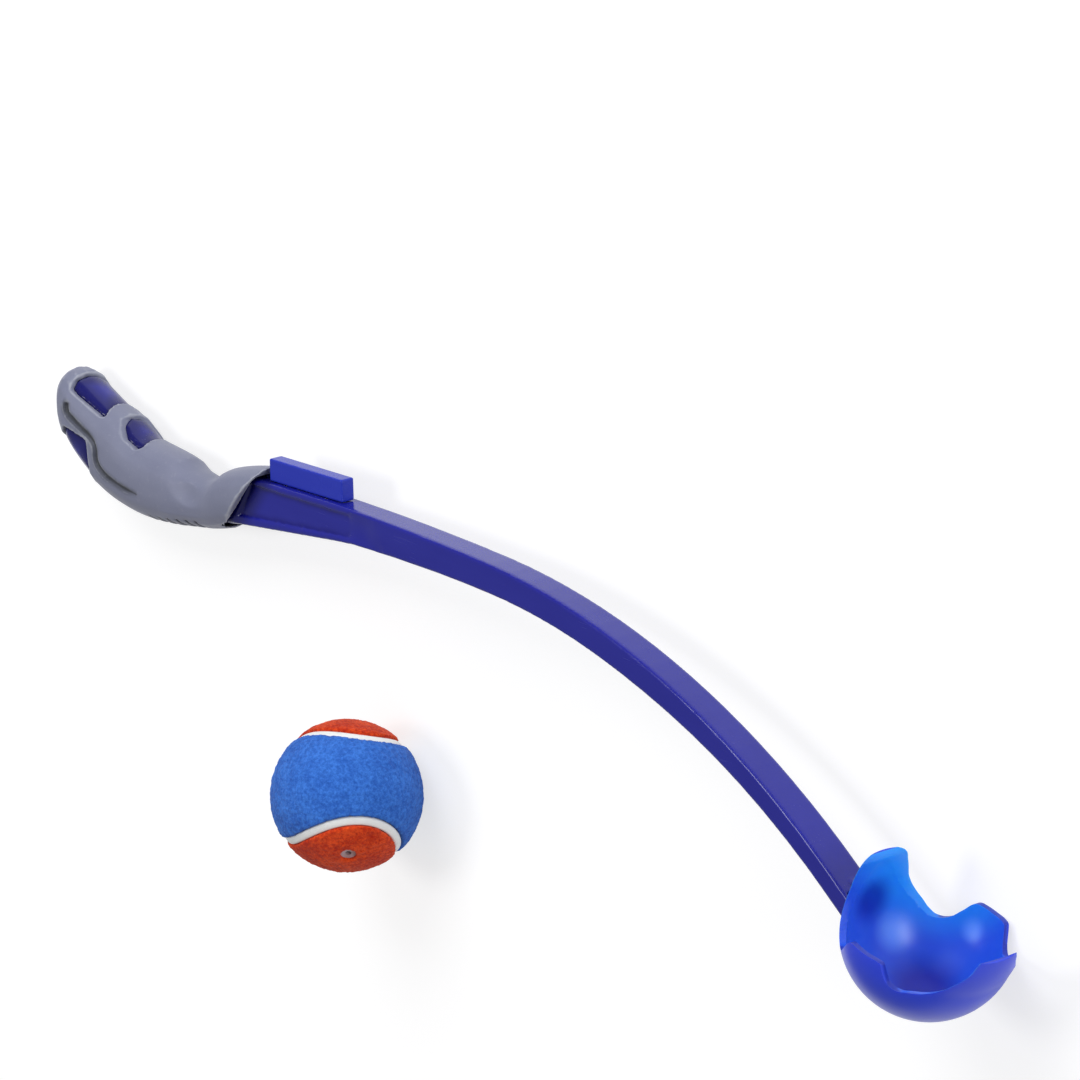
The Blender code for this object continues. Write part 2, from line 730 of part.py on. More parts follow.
def make_grip(parent):
    """The soft grip moulded over the tang, with three windows through which the tang shows."""
    grip = piece("grip", grip_skin(0.0), material("grip grey", GREY, 0.55), parent)
    space = cutter("tang space", loft_mesh(tang_rings(CLEARANCE) + root_rings(CLEARANCE)), parent)
    combine(grip, space, "DIFFERENCE")
    mouth = cutter("mouth", loft_mesh(tang_rings(MOUTH_GAP)[-2:] + root_rings(MOUTH_GAP)), parent)
    combine(mouth, cutter("mouth floor", mouth_mesh(MOUTH_DEPTH), parent), "INTERSECT")
    combine(grip, mouth, "DIFFERENCE")
    combine(grip, cutter("mouth slant", mouth_mesh(0.0), parent), "DIFFERENCE")

    for name, shares, lean in GRIP_WINDOWS:
        combine(grip, cutter(name, window_mesh(shares, lean, 0.0), parent), "DIFFERENCE")

    ribs = cutter("ribs", ribs_mesh(), parent)
    combine(ribs, cutter("skin over", grip_skin(OVERRUN / 8), parent), "INTERSECT")
    combine(ribs, cutter("skin under", grip_skin(-RIB_DEPTH), parent), "DIFFERENCE")
    combine(grip, ribs, "DIFFERENCE")

    for side in (-1, 1):
        hollow = sphere_mesh(DISH_CURVE_RADIUS, 72, 48)
        place = grip_surface(DISH_SHARE, DISH_CURVE_RADIUS - DISH_DEPTH)
        hollow.transform(Matrix.Translation((place.x, place.y, side * place.z)))
        combine(grip, cutter("thumb dish", hollow, parent), "DIFFERENCE")

        path = []
        for back, up, share in GROOVE_SHARES:
            place = grip_surface((back, up), (GROOVE_RADIUS - GROOVE_DEPTH) * share)
            path.append((place.x, place.y, side * place.z, share))
        combine(grip, cutter("groove", tube_mesh(path, GROOVE_RADIUS), parent), "DIFFERENCE")
    smooth(grip)
    return grip


def seam_place(turn):
    """The seam's course round a ball of radius one."""
    wave = SEAM_WAVE_SHARE
    base = 1 - wave
    return Vector((base * cos(turn) + wave * cos(3 * turn), base * sin(turn) - wave * sin(3 * turn),
                   2 * sqrt(base * wave) * sin(2 * turn)))


def seam_mesh(width, inner, outer, across=2):
    """A band along the seam, between two radii."""
    work = bmesh.new()
    rows = []
    for i in range(SEAM_STEPS):
        turn = 2 * pi * i / SEAM_STEPS
        place = seam_place(turn)
        ahead = seam_place(turn + pi / SEAM_STEPS) - seam_place(turn - pi / SEAM_STEPS)
        side = place.cross(ahead).normalized() * width / 2 / inner
        rows.append([work.verts.new((place + side * (2 * k / across - 1)).normalized() * inner)
                     for k in range(across + 1)])
    for a, b in zip(rows, rows[1:] + rows[:1]):
        for k in range(across):
            work.faces.new((a[k], b[k], b[k + 1], a[k + 1]))
    mesh = bpy.data.meshes.new("seam")
    work.to_mesh(mesh)
    work.free()
    band = bpy.data.objects.new("seam", mesh)
    TOOLS.objects.link(band)
    thick = band.modifiers.new("thickness", "SOLIDIFY")
    thick.thickness = outer - inner
    thick.offset = 1
    return frozen(band)


def split(mesh):
    """The separate closed bodies of a mesh, each as a mesh of its own."""
    work = bmesh.new()
    work.from_mesh(mesh)
    left = set(work.verts)
    found = []
    while left:
        group = {left.pop()}
        edge = list(group)
        while edge:
            vert = edge.pop()
            for other in (link.other_vert(vert) for link in vert.link_edges):
                if other not in group:
                    group.add(other)
                    edge.append(other)
        left -= group
        found.append({vert.index for vert in group})
    work.free()
    bodies = []
    for group in found:
        work = bmesh.new()
        work.from_mesh(mesh)
        bmesh.ops.delete(work, geom=[vert for vert in work.verts if vert.index not in group],
                         context="VERTS")
        body = bpy.data.meshes.new("body")
        work.to_mesh(body)
        work.free()
        bodies.append(body)
    return bodies


def half_shell(radius, wall, steps=7):
    """Half of a hollow ball above its middle, as a profile to turn."""
    points = []
    for size, places in ((radius, range(steps + 1)), (radius - wall, range(steps, -1, -1))):
        lowest = asin(CLEARANCE / 2 / size)
        for i in places:
            angle = pi / 2 - (pi / 2 - lowest) * i / steps
            points.append((size * cos(angle) if i else 0.0, size * sin(angle)))
    return points


def make_ball(parent):
    """The ball: a hollow rubber core in halves, two felt panels, a seam and a squeaker."""
    attitude = Euler(BALL_ATTITUDE).to_matrix().to_4x4()
    way = Vector(SQUEAKER_DIRECTION_SHARE).normalized()
    pole = attitude @ way.to_track_quat("Z", "Y").to_matrix().to_4x4()
    through = cutter("squeaker hole", cylinder_mesh(SQUEAKER_RADIUS + CLEARANCE, BALL_DIAMETER), parent)
    through.matrix_local = pole @ Matrix.Translation((0, 0, BALL_RADIUS))
    recess = cutter("squeaker recess", cylinder_mesh(SQUEAKER_LIP + CLEARANCE, BALL_RADIUS), parent)
    recess.matrix_local = pole @ Matrix.Translation((0, 0, BALL_RADIUS))

    rubber = material("rubber grey", RUBBER_GREY, 0.70)
    for name, flip in (("ball_core_near", 0.0), ("ball_core_far", pi)):
        core = piece(name, turned_mesh(half_shell(CORE_RADIUS, CORE_WALL), 24), rubber, parent)
        core.matrix_local = pole @ Matrix.Rotation(flip, 4, "X")
        if not flip:
            combine(core, through, "DIFFERENCE")
        smooth(core)

    inner = BALL_RADIUS - FELT_THICKNESS
    shell = bpy.data.objects.new("felt", sphere_mesh(BALL_RADIUS, 32, 20))
    TOOLS.objects.link(shell)
    combine(shell, cutter("felt inside", sphere_mesh(inner, 32, 20), None), "DIFFERENCE")
    gap = seam_mesh(SEAM_WIDTH + 2 * CLEARANCE, inner - OVERRUN / 4, BALL_RADIUS + OVERRUN / 4)
    combine(shell, cutter("seam gap", gap, None), "DIFFERENCE")
    panels = sorted(split(frozen(shell)), key=lambda mesh: min(
        (vert.co - way * BALL_RADIUS).length for vert in mesh.vertices))
    felts = (("felt_panel_orange", FELT_ORANGE), ("felt_panel_blue", FELT_BLUE))
    for (name, colour), mesh in zip(felts, panels):
        felt = piece(name, mesh, material(name.replace("_", " "), colour, 0.95), parent)
        felt.matrix_local = attitude
        if name == felts[0][0]:
            combine(felt, recess, "DIFFERENCE")
        smooth(felt)

    band = seam_mesh(SEAM_WIDTH, inner, BALL_RADIUS - SEAM_SUNK)
    seam = piece("ball_seam", band, material("seam white", SEAM_WHITE, 0.60), parent)
    seam.matrix_local = attitude
    smooth(seam)

    lip = inner + SQUEAKER_LIP_THICKNESS
    end = inner - SQUEAKER_LENGTH
    barb = CORE_RADIUS - CORE_WALL - CLEARANCE
    plug = turned_mesh((
        (0.0, lip), (SQUEAKER_LIP, lip), (SQUEAKER_LIP, inner), (SQUEAKER_RADIUS, inner),
        (SQUEAKER_RADIUS, barb), (SQUEAKER_LIP, barb - SQUEAKER_LIP_THICKNESS),
        (SQUEAKER_RADIUS, barb - 2 * SQUEAKER_LIP_THICKNESS), (SQUEAKER_RADIUS, end), (0.0, end)), 24)
    tube = piece("squeaker_tube", plug, material("squeaker white", SQUEAKER_WHITE, 0.40), parent)
    tube.matrix_local = pole
    bore = cutter("squeaker bore", cylinder_mesh(SQUEAKER_BORE, BALL_DIAMETER, 16), parent)
    bore.matrix_local = pole @ Matrix.Translation((0, 0, BALL_RADIUS))
    combine(tube, bore, "DIFFERENCE")
    smooth(tube)

    half = SQUEAKER_BORE - 1.5 * CLEARANCE
    strip = box_mesh((-half, -REED_THICKNESS / 2, end + REED_LENGTH / 4),
                     (half, REED_THICKNESS / 2, end + REED_LENGTH * 1.25))
    reed = piece("squeaker_reed", strip, material("reed white", SQUEAKER_WHITE, 0.30), parent)
    reed.matrix_local = pole


def shown_points(made, frame):
    """The points of an object as it stands, seen from a frame."""
    shown = made.evaluated_get(bpy.context.evaluated_depsgraph_get())
    mesh = shown.to_mesh()
    points = [frame @ made.matrix_world @ vert.co for vert in mesh.vertices]
    shown.to_mesh_clear()
    return points


def lay_down(thrower, ball, cup, grip):
    """Rests the thrower on its scoop and grip, and centres the whole set over the origin."""
    bpy.context.view_layer.update()
    still = Matrix.Identity(4)
    cup_points = shown_points(cup, still)
    grip_points = shown_points(grip, still)
    pitch = 0.0
    for _ in range(12):
        turn = Matrix.Rotation(-pitch, 4, "Y")
        low_cup = min((turn @ place for place in cup_points), key=lambda place: place.z)
        low_grip = min((turn @ place for place in grip_points), key=lambda place: place.z)
        pitch += atan2(low_grip.z - low_cup.z, low_cup.x - low_grip.x)
    turn = Matrix.Rotation(-pitch, 4, "Y")
    lift = -min((turn @ place).z for place in cup_points)
    thrower.matrix_world = Matrix.Translation((0, 0, lift)) @ turn
    ball.location = (BALL_FORWARD, -BALL_ASIDE, BALL_RADIUS)
    bpy.context.view_layer.update()
    places = []
    for made in PARTS.objects:
        if made.type == "MESH":
            places += shown_points(made, still)
    shift = Vector((-(max(place.x for place in places) + min(place.x for place in places)) / 2,
                    -(max(place.y for place in places) + min(place.y for place in places)) / 2, 0))
    for carrier in (thrower, ball):
        carrier.location += shift
    bpy.context.view_layer.update()


thrower_frame = empty("thrower")
ball_frame = empty("ball")
make_arm(thrower_frame)
make_plate(thrower_frame)
scoop = make_cup(thrower_frame)
soft_grip = make_grip(thrower_frame)
make_ball(ball_frame)
lay_down(thrower_frame, ball_frame, scoop, soft_grip)
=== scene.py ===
# %% [markdown]
# # A dog ball thrower, dressed for its picture
# The solids of the thrower come ready made and packed as a fixed frame: where each piece is, and
# what moves with what. This lesson gives them their looks. Nothing here moves or resizes them.
# Some pieces only need a finish. Others, such as the soft grip and the felt of the ball, have
# rounder or rougher forms than a plain solid, so they get a piece of their own in the same place.

# %% Load the frame
import json
from math import cos, pi, radians, sin

import bmesh
import bpy
import numpy
from mathutils import Euler, Matrix, Vector
from mathutils.bvhtree import BVHTree


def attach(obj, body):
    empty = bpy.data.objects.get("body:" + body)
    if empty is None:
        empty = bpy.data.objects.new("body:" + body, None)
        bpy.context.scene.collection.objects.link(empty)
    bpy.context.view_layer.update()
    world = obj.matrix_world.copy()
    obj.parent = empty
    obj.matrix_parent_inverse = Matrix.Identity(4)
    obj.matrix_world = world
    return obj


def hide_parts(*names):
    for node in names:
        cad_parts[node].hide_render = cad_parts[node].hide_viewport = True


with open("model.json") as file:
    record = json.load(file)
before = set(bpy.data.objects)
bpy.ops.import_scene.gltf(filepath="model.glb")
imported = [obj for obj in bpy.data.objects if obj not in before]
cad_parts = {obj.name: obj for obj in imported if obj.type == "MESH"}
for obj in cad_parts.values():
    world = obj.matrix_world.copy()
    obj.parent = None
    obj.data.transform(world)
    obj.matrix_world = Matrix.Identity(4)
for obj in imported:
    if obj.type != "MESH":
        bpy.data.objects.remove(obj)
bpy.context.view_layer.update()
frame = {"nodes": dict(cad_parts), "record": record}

MM = 0.001
nodes = frame["nodes"]
record = frame["record"]
print("nodes:", ", ".join(sorted(nodes)))

# %% [markdown]
# ## The camera
# The product stands in a shop picture with its convex side up, seen from far off through a long
# lens, so its lines hardly converge. Here the thrower lies on its side, so the camera is carried
# round with it and rolled by the same angle. That way the picture shows the same view, and the
# thrower can rest as a real one would. The place it aims at is measured from the name plate.

# %% Camera
AIM_FROM_PLATE = Vector((155.15, 12.40, 6.58)) * MM
CAMERA_AZIMUTH = radians(113.737)
CAMERA_ELEVATION = radians(39.790)
CAMERA_ROLL = radians(-105.665)
CAMERA_DISTANCE = 3.1253
CAMERA_LENS = 254.935
CAMERA_REACH = 100



def way_at(azimuth, elevation):
    """The way towards a place that is seen at an azimuth and an elevation."""
    return Vector((sin(azimuth) * cos(elevation), -cos(azimuth) * cos(elevation), sin(elevation)))


plate_place = Vector(record["mounts"][0]["pos_m"])
aim = plate_place + AIM_FROM_PLATE
back = way_at(CAMERA_AZIMUTH, CAMERA_ELEVATION)
bpy.ops.object.camera_add(location=aim + back * CAMERA_DISTANCE)
camera = bpy.context.object
roll = Euler((0, 0, CAMERA_ROLL)).to_quaternion()
camera.rotation_euler = ((-back).to_track_quat("-Z", "Y") @ roll).to_euler()
camera.data.lens = CAMERA_LENS
camera.data.clip_end = CAMERA_REACH
bpy.context.scene.camera = camera
bpy.context.scene.view_settings.view_transform = "Standard"
print("camera at", [round(v, 3) for v in camera.location])

# %% [markdown]
# ## Shader sums in plain Python
# A material is a net of nodes, and most of its nodes are sums. A small class wraps a socket so
# that `1 - grain * 0.5` adds the Math nodes by itself. Every other node comes from one method,
# which takes the node's type, its settings and what goes into its sockets.

# %% A socket that can be used in a sum
class Wire:
    """A socket of a material, for use in sums."""

    def __init__(self, finish, socket):
        self.finish = finish
        self.socket = socket

    def sum(self, operation, first, second):
        return self.finish.node("ShaderNodeMath", [first, second], operation=operation)

    def __add__(self, other):
        return self.sum("ADD", self, other)

    def __radd__(self, other):
        return self.sum("ADD", other, self)

    def __sub__(self, other):
        return self.sum("SUBTRACT", self, other)

    def __rsub__(self, other):
        return self.sum("SUBTRACT", other, self)

    def __mul__(self, other):
        return self.sum("MULTIPLY", self, other)

    def __rmul__(self, other):
        return self.sum("MULTIPLY", other, self)


# %% A material that is built a node at a time
class Finish:
    """A material with one Principled shader."""

    def __init__(self, name):
        self.material = bpy.data.materials.new(name)
        self.material.use_nodes = True
        self.tree = self.material.node_tree
        self.shader = self.tree.nodes["Principled BSDF"]
        self.place = self.node("ShaderNodeTexCoord", output="Object")

    def node(self, kind, values=(), output=0, **settings):
        """Adds a node with its settings. Values is a list in the sockets' order, or goes by name."""
        made = self.tree.nodes.new(kind)
        for name, value in settings.items():
            setattr(made, name, value)
        pairs = values.items() if isinstance(values, dict) else enumerate(values)
        for name, value in pairs:
            self.feed(made.inputs[name], value)
        return Wire(self, made.outputs[output])

    def feed(self, socket, value):
        """Links a wire to a socket, or sets the socket's own value."""
        if isinstance(value, Wire):
            self.tree.links.new(value.socket, socket)
        elif isinstance(value, tuple) and len(value) == 3 and socket.type == "RGBA":
            socket.default_value = (*value, 1.0)
        else:
            socket.default_value = value

    def set(self, **values):
        """Sets the shader's sockets, with _ for a space in a name."""
        for name, value in values.items():
            self.feed(self.shader.inputs[name.replace("_", " ")], value)

    def marked(self, name):
        """A value that the piece's own points carry under a name."""
        return self.node("ShaderNodeAttribute", output="Fac", attribute_name=name)

    def along(self, start, way):
        """How far a place is from a start along a way."""
        offset = self.node("ShaderNodeVectorMath", [self.place, tuple(start)], operation="SUBTRACT")
        return self.node("ShaderNodeVectorMath", [offset, tuple(way)], output="Value",
                         operation="DOT_PRODUCT")

    def spot(self, middle, inner, outer):
        """A soft spot: 1 within the inner radius of its middle and 0 past the outer one."""
        distance = self.node("ShaderNodeVectorMath", [self.place, tuple(middle)],
                             output="Value", operation="DISTANCE")
        return self.band(distance, outer, inner)

    def noise(self, size, detail=3.0, roughness=0.5, place=None):
        """Soft noise from 0 to 1, with spots of about the size given in metres."""
        return self.node("ShaderNodeTexNoise", {"Vector": place or self.place, "Scale": 1 / size,
                                                "Detail": detail, "Roughness": roughness})

    def band(self, value, low, high):
        """Takes a value from 0 at low to 1 at high."""
        return self.node("ShaderNodeMapRange", {"Value": value, "From Min": low, "From Max": high},
                         interpolation_type="SMOOTHSTEP")

    def mix(self, factor, first, second):
        """Mixes two colours."""
        made = self.tree.nodes.new("ShaderNodeMix")
        made.data_type = "RGBA"
        for name, value in (("Factor_Float", factor), ("A_Color", first), ("B_Color", second)):
            self.feed(next(one for one in made.inputs if one.identifier == name), value)
        return Wire(self, next(one for one in made.outputs if one.identifier == "Result_Color"))

    def bump(self, height, depth):
        """Raises the surface by a height from 0 to 1, times a depth in metres."""
        return self.node("ShaderNodeBump", {"Height": height, "Distance": depth, "Strength": 1.0})


# %% [markdown]
# ## Directions on the thrower
# The thrower lies on its side on rests that aren't quite level, so its own directions come from
# the mount on the name plate: one way goes out of its side and one goes forward to the scoop. The
# scoop's own directions are its front, its side and its open mouth.

# %% The thrower's own directions
side_way = Vector(record["mounts"][0]["axis"])
forward_way = Vector((0, 1, 0)).cross(side_way)
SCOOP_FALL = radians(34)
SCOOP_RADIUS = 35.5 * MM
SCOOP_OPENING = record["physics"]["openings"][0]["box_m"]
scoop_middle = (Vector(SCOOP_OPENING[0]) + Vector(SCOOP_OPENING[1])) / 2
scoop_front = forward_way * cos(SCOOP_FALL) - Vector((0, 1, 0)) * sin(SCOOP_FALL)
scoop_mouth = forward_way * sin(SCOOP_FALL) + Vector((0, 1, 0)) * cos(SCOOP_FALL)
scoop_place = Matrix.Translation(scoop_middle) @ Matrix(
    (scoop_front, scoop_mouth.cross(scoop_front), scoop_mouth)).transposed().to_4x4()
print("scoop middle:", [round(v, 4) for v in scoop_middle])

# %% [markdown]
# ## Moulded blue plastic
# The arm and the plate are glossy injection mouldings. Up close such plastic is never one flat
# colour: the melt leaves faint streaks along the arm, the gloss varies from patch to patch, and
# handling adds hairline scuffs. All of that is small, so it goes into colour, roughness and bump.
# Pictures of real plastic could do it too, but noise needs no files and stays sharp up close.
# The colour also reads two values that each point of the arm is given further down: how many
# millimetres it lies sunk, and how close it is to the grip. Both darken it as painted shade, as in
# the photo.

# %% Arm and plate finish
PLASTIC_IOR = 1.49
ARM_BLUE = (0.007, 0.008, 0.225)
ARM_BLUE_PALE = (0.018, 0.022, 0.310)
ARM_BLUE_CORNER_SHADE = (0.001, 0.001, 0.150)
ARM_BLUE_SHADE = (0.001, 0.001, 0.070)
PLATE_BLUE = (0.012, 0.022, 0.350)
PLATE_BLUE_PALE = (0.032, 0.055, 0.460)
SCUFF_BLUE = (0.12, 0.13, 0.45)
STREAK_SIZE = 9 * MM
STREAK_STRETCH = (0.15, 1.0, 1.0)
GLOSS_PATCH_SIZE = 28 * MM
PLASTIC_GRAIN_SIZE = 0.5 * MM
PLASTIC_GRAIN_DEPTH = 0.018 * MM
SCUFF_SIZE = 0.9 * MM
SCUFF_STRETCH = (0.04, 1.0, 1.0)
SCUFF_TURN = (0.0, 0.0, radians(24))
SCUFF_BAND = (0.66, 0.74)
SCUFF_PATCH_BAND = (0.50, 0.62)
PANEL_FADES = (18 * MM, 44 * MM)
SHADE_RETURNS = (60 * MM, 80 * MM)
CORNER_DEPTHS = (0.02, 0.34)
CLOSE_WIDE_BAND = (0.0, 0.75)
CLOSE_NARROW_BAND = (0.74, 0.97)
SUNK, CLOSE = "sunk", "close"


def moulded_plastic(name, deep, pale, roughness, gloss, coat):
    """Blue plastic with streaks, scuffs, and painted shade in inside corners and beside the grip."""
    finish = Finish(name)
    along = finish.node("ShaderNodeMapping", {"Vector": finish.place, "Scale": STREAK_STRETCH})
    streaks = finish.noise(STREAK_SIZE, detail=4.0, roughness=0.6, place=along)
    patches = finish.noise(GLOSS_PATCH_SIZE, detail=2.0)
    grain = finish.noise(PLASTIC_GRAIN_SIZE, detail=2.0)
    across = finish.node("ShaderNodeMapping", {
        "Vector": finish.place, "Rotation": SCUFF_TURN, "Scale": SCUFF_STRETCH})
    hairlines = finish.noise(SCUFF_SIZE, detail=1.0, roughness=0.4, place=across)
    scuffs = finish.band(hairlines, *SCUFF_BAND) * finish.band(patches, *SCUFF_PATCH_BAND)
    forward = finish.along(plate_place, forward_way)
    run_out = finish.band(forward, *PANEL_FADES) * (1 - finish.band(forward, *SHADE_RETURNS))
    sunk, close = finish.marked(SUNK), finish.marked(CLOSE)
    # Painted shade: deeper blue in sunk corners, fading out at the panel's front end, and beside the
    # grip.
    corners = finish.band(sunk, *CORNER_DEPTHS) * 0.85 * (1 - run_out)
    tint = finish.mix(streaks * 0.45 + patches * 0.25, deep, pale)
    tint = finish.mix(corners, tint, ARM_BLUE_CORNER_SHADE)
    tint = finish.mix(finish.band(close, *CLOSE_WIDE_BAND) * 0.8, tint, ARM_BLUE_SHADE)
    tint = finish.mix(finish.band(close, *CLOSE_NARROW_BAND) * 0.85, tint, ARM_BLUE_SHADE)
    finish.set(
        Base_Color=finish.mix(scuffs * 0.06, tint, SCUFF_BLUE),
        Roughness=roughness + patches * 0.08 + scuffs * 0.15,
        Normal=finish.bump(grain * 0.6 + streaks * 0.4 - scuffs * 0.4, PLASTIC_GRAIN_DEPTH),
        IOR=PLASTIC_IOR,
        Specular_IOR_Level=gloss,
        Coat_Weight=coat,
        Coat_Roughness=0.18)
    return finish.material


arm_finish = moulded_plastic("moulded arm blue", ARM_BLUE, ARM_BLUE_PALE,
                             roughness=0.20, gloss=0.3, coat=0.25)
plate_finish = moulded_plastic("moulded plate blue", PLATE_BLUE, PLATE_BLUE_PALE,
                               roughness=0.24, gloss=0.2, coat=0.1)
print("made:", arm_finish.name, "and", plate_finish.name)

# %% [markdown]
# ## The scoop's thin bright blue
# The scoop is a thin wall of clearer plastic. Light goes through it, so its far wall glows brighter
# and greener than the outside, and the places with something solid behind them stay deep blue in
# shade: the arm's end behind its back finger, and the floor of the bowl. In two places the curved
# wall shows a bright highlight. A fully clear wall could show all this by itself, but it would take
# long to render and couldn't be baked. So the glow, the shade and the highlights are painted light
# and shade, placed by where they lie inside the bowl, in shares of its radius, and a little
# subsurface scattering softens them. The cut rim is painted darker, as shade.

# %% Scoop finish
# The inside is painted a little greener than the outside, as painted light through the wall.
SCOOP_OUTSIDE = (0.020, 0.052, 0.640)
SCOOP_INSIDE = (0.018, 0.076, 0.640)
SCOOP_GLOW = (0.020, 0.320, 0.960)
SCOOP_PAINTED_HIGHLIGHT = (0.130, 0.360, 1.000)
SCOOP_SHADE = (0.001, 0.004, 0.320)
SCOOP_RIM_SHADE = (0.008, 0.018, 0.300)
GLOW_WAY = Vector((-0.75, 0.60, 0.25))
GLOW_SHARES = (0.30, 0.85)
BOWL_FLOOR_SHADE_SPOT = ((0.21, 0.22, -0.91), 6 * MM, 21 * MM)
ARM_END_SHADE_SPOT = ((-0.84, -0.03, -0.42), 3 * MM, 13 * MM)
BACK_HIGHLIGHT_SPOT = ((-0.52, 0.25, -0.72), 1 * MM, 11 * MM)
FAR_HIGHLIGHT_SPOT = ((-0.04, 0.87, -0.34), 1 * MM, 7 * MM)
SCOOP_PATCH_SIZE = 14 * MM
SCOOP_GRAIN_SIZE = 0.6 * MM
SCOOP_GRAIN_DEPTH = 0.012 * MM
RIM_BAND = (0.05, 0.20)
INSIDE = "inside"


def bowl_spot(finish, spot):
    """A soft spot in the bowl, from its middle in shares of the radius and its two radii."""
    shares, inner, outer = spot
    return finish.spot(scoop_place @ (Vector(shares) * SCOOP_RADIUS), inner, outer)


def scoop_plastic():
    """Thin clear plastic, with a painted glow from behind, painted shade and painted highlights, by
    place.
    """
    finish = Finish("clear scoop blue")
    start, end = (share * SCOOP_RADIUS for share in GLOW_SHARES)
    glow = finish.band(finish.along(scoop_middle, scoop_place.to_3x3() @ GLOW_WAY), start, end)
    patches = finish.noise(SCOOP_PATCH_SIZE, detail=3.0)
    grain = finish.noise(SCOOP_GRAIN_SIZE, detail=2.0)
    # Painted glow, two spots of painted shade and two painted highlights.
    tint = finish.mix(glow * 0.9 + patches * 0.1, SCOOP_INSIDE, SCOOP_GLOW)
    tint = finish.mix(bowl_spot(finish, BOWL_FLOOR_SHADE_SPOT) * 0.9, tint, SCOOP_SHADE)
    tint = finish.mix(bowl_spot(finish, ARM_END_SHADE_SPOT) * 0.75, tint, SCOOP_SHADE)
    tint = finish.mix(bowl_spot(finish, BACK_HIGHLIGHT_SPOT) * 0.7, tint, SCOOP_PAINTED_HIGHLIGHT)
    tint = finish.mix(bowl_spot(finish, FAR_HIGHLIGHT_SPOT) * 0.5, tint, SCOOP_PAINTED_HIGHLIGHT)
    inside = finish.marked(INSIDE)
    tint = finish.mix(inside, SCOOP_OUTSIDE, tint)
    # Painted shade on the cut rim.
    rim = finish.band(inside * (1 - inside), *RIM_BAND)
    finish.set(
        Base_Color=finish.mix(rim * 0.8, tint, SCOOP_RIM_SHADE),
        Roughness=0.27 + patches * 0.10,
        Normal=finish.bump(grain, SCOOP_GRAIN_DEPTH),
        IOR=PLASTIC_IOR,
        Specular_IOR_Level=0.40,
        Subsurface_Weight=0.25,
        Subsurface_Radius=(0.15, 0.35, 1.0),
        Subsurface_Scale=4 * MM)
    return finish.material


scoop_finish = scoop_plastic()
print("made:", scoop_finish.name)

# %% [markdown]
# ## The soft grip
# The grip is a matt rubbery grey with a fine leathery grain that catches a broad pale sheen.
# Dust and hand grease gather in patches, so the grey drifts a little warmer and cooler. Its groove
# and ribs get painted shade where its points are marked as sunk, and so do the soft hollows beside
# its edges and the start of its groove. Every lip gets a pale painted highlight.
# A cell pattern makes the leather, because plain noise would look like sand.

# %% Grip finish
GRIP_GREY = (0.145, 0.157, 0.240)
GRIP_GREY_PALE = (0.180, 0.192, 0.278)
GRIP_GREY_SHADE = (0.020, 0.024, 0.034)
GRIP_PAINTED_EDGE_HIGHLIGHT = (0.400, 0.420, 0.480)
GRIP_DUST = (0.42, 0.42, 0.46)
GROOVE_START = plate_place + Vector((-158.05, -3.48, 0.69)) * MM
GROOVE_START_RADII = (1 * MM, 4.5 * MM)
HOLLOW_DEPTHS = (0.004, 0.050)
GROOVE_DEPTHS = (0.04, 0.18)
LIP_HEIGHTS = (-0.08, -0.30)
GRIP_PATCH_SIZE = 11 * MM
LEATHER_SIZE = 0.7 * MM
LEATHER_FINE_SIZE = 0.35 * MM
LEATHER_DEPTH = 0.05 * MM
DUST_SIZE = 2.2 * MM
DUST_BAND = (0.56, 0.70)
HOLLOW = "hollow"


def grip_rubber():
    """Soft grey rubber with a leathery grain, dust, painted shade in its hollows and painted
    highlights on its lips.
    """
    finish = Finish("soft grip grey")
    patches = finish.noise(GRIP_PATCH_SIZE, detail=4.0, roughness=0.6)
    grain = finish.node("ShaderNodeTexVoronoi", {"Vector": finish.place, "Scale": 1 / LEATHER_SIZE})
    fine = finish.noise(LEATHER_FINE_SIZE, detail=2.0)
    dust = finish.band(finish.noise(DUST_SIZE, detail=5.0, roughness=0.7), *DUST_BAND)
    tint = finish.mix(patches, GRIP_GREY, GRIP_GREY_PALE)
    sunk, hollow = finish.marked(SUNK), finish.marked(HOLLOW)
    groove_start_shade = finish.spot(GROOVE_START, *GROOVE_START_RADII)
    # Painted shade beside edges, in the groove and ribs and at the groove's start; a painted
    # highlight on the lips.
    tint = finish.mix(finish.band(hollow, *HOLLOW_DEPTHS) * 0.7, tint, GRIP_GREY_SHADE)
    tint = finish.mix(finish.band(sunk, *GROOVE_DEPTHS) * 0.9, tint, GRIP_GREY_SHADE)
    tint = finish.mix(groove_start_shade * 0.85, tint, GRIP_GREY_SHADE)
    tint = finish.mix(finish.band(sunk, *LIP_HEIGHTS) * 0.6, tint, GRIP_PAINTED_EDGE_HIGHLIGHT)
    finish.set(
        Base_Color=finish.mix(dust * 0.12, tint, GRIP_DUST),
        Roughness=0.46 + patches * 0.12 + dust * 0.08,
        Normal=finish.bump(grain * 0.6 + fine * 0.4, LEATHER_DEPTH),
        Sheen_Weight=0.15)
    return finish.material


grip_finish = grip_rubber()
print("made:", grip_finish.name)

# %% [markdown]
# ## Felt, seam and squeaker
# Felt is a mat of short fibres. From a step away it reads as a soft speckle that follows its bump:
# darker in the pits as painted shade, paler at the tips, with a sheen at the edge of the ball. Hair
# could make every fibre, but from this far speckle and bump look the same and weigh nothing. The
# seam is a band of pale rubber glue that has sunk a little between the panels.

